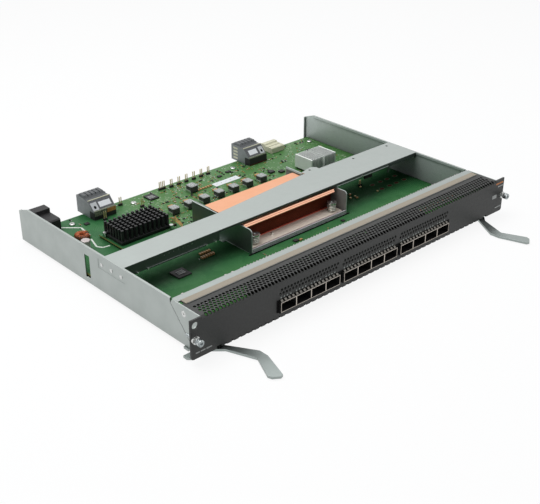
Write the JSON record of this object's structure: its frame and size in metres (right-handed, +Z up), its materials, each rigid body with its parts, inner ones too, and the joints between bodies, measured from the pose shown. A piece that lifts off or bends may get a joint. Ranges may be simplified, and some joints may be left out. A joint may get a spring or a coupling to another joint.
{
  "type": "switch line card",
  "caption": "Shallow zinc tray with a green board, a copper cooler between baffles, a perforated black front panel with sockets, ejector levers and captive thumbscrews.",
  "frame": {"origin": "under the middle of the whole card's bounding box, at its lowest point (the lever rivets' heads), levers open", "axes": "+X along the front panel to the right as seen from the ports, +Y from the front panel back to the rear connectors, +Z up from the tray's floor"},
  "size_m": [0.4826, 0.41, 0.0477],
  "materials": {
    "zinc_sheet": "bright passivated zinc, satin",
    "nickel_sheet": "warm nickel plate, satin",
    "black_paint": "fine textured charcoal powder coat",
    "steel_bright": "bright nickel-plated steel",
    "copper": "bare copper, satin",
    "aluminium": "bare aluminium, satin",
    "black_aluminium": "black anodised",
    "board_green": "green solder mask, semi-gloss",
    "gasket_tan": "tan conductive cloth over foam",
    "rubber_black": "matt black conductive rubber",
    "plastic_black": "matt black moulding",
    "plastic_grey": "grey glass-filled moulding",
    "plastic_beige": "beige moulding",
    "ferrite_grey": "moulded iron powder, matt",
    "ceramic_tan": "tan ceramic",
    "lens_pale": "pale diffusing lens",
    "label_white": "white film",
    "baffle_grey": "grey-green satin coat",
    "winding": "enamelled copper wire"
  },
  "bodies": {
    "card": {"air_baffles": "baffle_grey", "backplane_connector_left": "plastic_grey", "backplane_connector_right": "plastic_grey", "board_label": "label_white", "board_screws": "steel_bright", "board_standoffs": "steel_bright", "bottom_seal": "rubber_black", "bracket_screws": "steel_bright", "bulk_capacitor": "ferrite_grey", "cage_fingers": "nickel_sheet", "card_connectors": "plastic_black", "ceramic_capacitors": "ceramic_tan", "chassis_tray": "zinc_sheet", "chip_resistors": "ceramic_tan", "cold_plate": "nickel_sheet", "connector_feet": "plastic_black", "connector_wafers": "plastic_beige", "cross_brace": "zinc_sheet", "duct_sill": "baffle_grey", "fabric_chip": "plastic_black", "front_bracket_left": "zinc_sheet", "front_bracket_right": "zinc_sheet", "front_panel": "black_paint", "front_rail": "zinc_sheet", "guide_block": "plastic_beige", "header_bases": "plastic_black", "header_pins": "steel_bright", "heatsink_cover": "copper", "heatsink_fins": "copper", "indicator_lenses": "lens_pale", "lever_rivets": "steel_bright", "main_board": "board_green", "pin_cooler": "black_aluminium", "plate_cooler": "aluminium", "port_cage_left": "nickel_sheet", "port_cage_middle": "nickel_sheet", "port_cage_right": "nickel_sheet", "power_connector": "plastic_black", "power_inductors": "ferrite_grey", "processor_card": "board_green", "processor_chip": "plastic_black", "push_pins": "steel_bright", "screw_coils": "steel_bright", "screw_ferrules": "steel_bright", "socket_blocks": "plastic_black", "spring_screws": "steel_bright", "surface_chips": "plastic_black", "switch_chip": "plastic_black", "thumb_springs": "steel_bright", "tinned_terminals": "steel_bright", "top_gasket": "gasket_tan", "toroid_choke": "winding", "wall_rivets": "steel_bright", "window_gasket": "rubber_black"},
    "lever_left": {"ejector_lever_left": "zinc_sheet"},
    "lever_right": {"ejector_lever_right": "zinc_sheet"},
    "clip_left": {"retaining_clip_left": "steel_bright"},
    "clip_right": {"retaining_clip_right": "steel_bright"},
    "screw_left": {"thumbscrew_left": "steel_bright"},
    "screw_right": {"thumbscrew_right": "steel_bright"}
  },
  "joints": [
    {"name": "lever_left_swing", "type": "hinge", "parent": "card", "child": "lever_left", "pos_m": [-0.2136, -0.11854, 0.00335], "axis": [0, 0, 1], "range_deg": [0, 55]},
    {"name": "lever_right_swing", "type": "hinge", "parent": "card", "child": "lever_right", "pos_m": [0.2136, -0.11854, 0.00335], "axis": [0, 0, -1], "range_deg": [0, 55]},
    {"name": "thumbscrew_left_press", "type": "slide", "parent": "card", "child": "clip_left", "axis": [0, 1, 0], "range_m": [0, 0.0024], "stiffness_N_per_m": 250, "springref_m": -0.001, "deforming": ["thumb_springs"]},
    {"name": "thumbscrew_right_press", "type": "slide", "parent": "card", "child": "clip_right", "axis": [0, 1, 0], "range_m": [0, 0.0024], "stiffness_N_per_m": 250, "springref_m": -0.001, "deforming": ["thumb_springs"]},
    {"name": "thumbscrew_left_turn", "type": "hinge", "parent": "clip_left", "child": "screw_left", "pos_m": [-0.2369, -0.13254, 0.02655], "axis": [0, 1, 0], "continuous": true},
    {"name": "thumbscrew_right_turn", "type": "hinge", "parent": "clip_right", "child": "screw_right", "pos_m": [0.2369, -0.13254, 0.02655], "axis": [0, 1, 0], "continuous": true}
  ]
}
